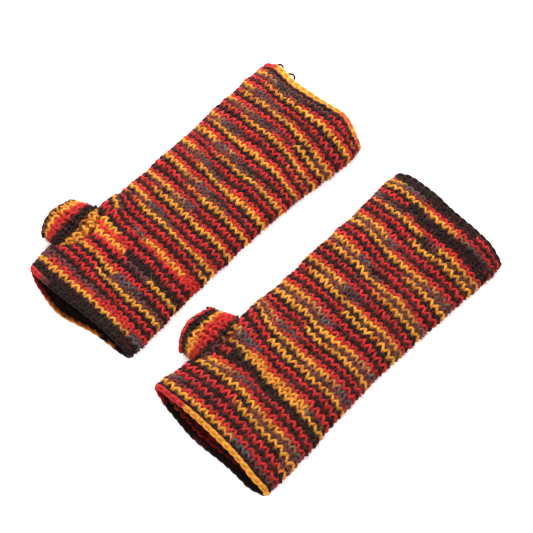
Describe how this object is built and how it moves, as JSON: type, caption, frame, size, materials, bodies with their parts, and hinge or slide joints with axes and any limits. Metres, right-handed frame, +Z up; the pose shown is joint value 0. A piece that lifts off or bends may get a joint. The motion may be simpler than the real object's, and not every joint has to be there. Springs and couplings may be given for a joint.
{
  "type": "fingerless gloves",
  "caption": "Pair of hand-knitted striped wool fingerless gloves lying flat, open tubes with a short open thumb and chain edges.",
  "frame": {"origin": "bottom centre of the box round both gloves lying flat side by side", "axes": "+Z up from the surface they lie on; each glove's long axis along Y with the hand opening at -Y and the arm opening at +Y; both thumbs point to -X"},
  "size_m": [0.243, 0.2432, 0.0185],
  "materials": {
    "striped_wool": "fuzzy stockinette knit in self-striping wool: near-black, red, orange, maroon and grey",
    "orange_wool": "fuzzy orange wool chain",
    "red_wool": "fuzzy red wool chain",
    "maroon_wool": "fuzzy maroon wool chain",
    "dark_wool": "fuzzy near-black wool"
  },
  "bodies": {
    "left_glove": {"left_hand_and_arm_tube": "striped_wool", "left_hand_opening_edge": "maroon_wool", "left_arm_opening_edge": "orange_wool", "left_thumb_pickup_ring": "striped_wool", "left_yarn_tail": "dark_wool"},
    "left_thumb": {"left_thumb_tube": "striped_wool", "left_thumb_edge": "dark_wool"},
    "right_glove": {"right_hand_and_arm_tube": "striped_wool", "right_hand_opening_edge": "orange_wool", "right_arm_opening_edge": "dark_wool", "right_thumb_pickup_ring": "striped_wool"},
    "right_thumb": {"right_thumb_tube": "striped_wool", "right_thumb_edge": "red_wool"}
  },
  "joints": [
    {"name": "left_thumb_fold", "type": "hinge", "parent": "left_glove", "child": "left_thumb", "pos_m": [-0.10477, -0.0719, 0.0148], "axis": [0, 1, 0], "range_deg": [0, 75]},
    {"name": "right_glove_lift", "type": "slide", "parent": "left_glove", "child": "right_glove", "axis": [0, 0, 1], "range_m": [0, 0.25]},
    {"name": "right_thumb_fold", "type": "hinge", "parent": "right_glove", "child": "right_thumb", "pos_m": [0.02223, -0.0609, 0.0148], "axis": [0, 1, 0], "range_deg": [0, 75]}
  ]
}
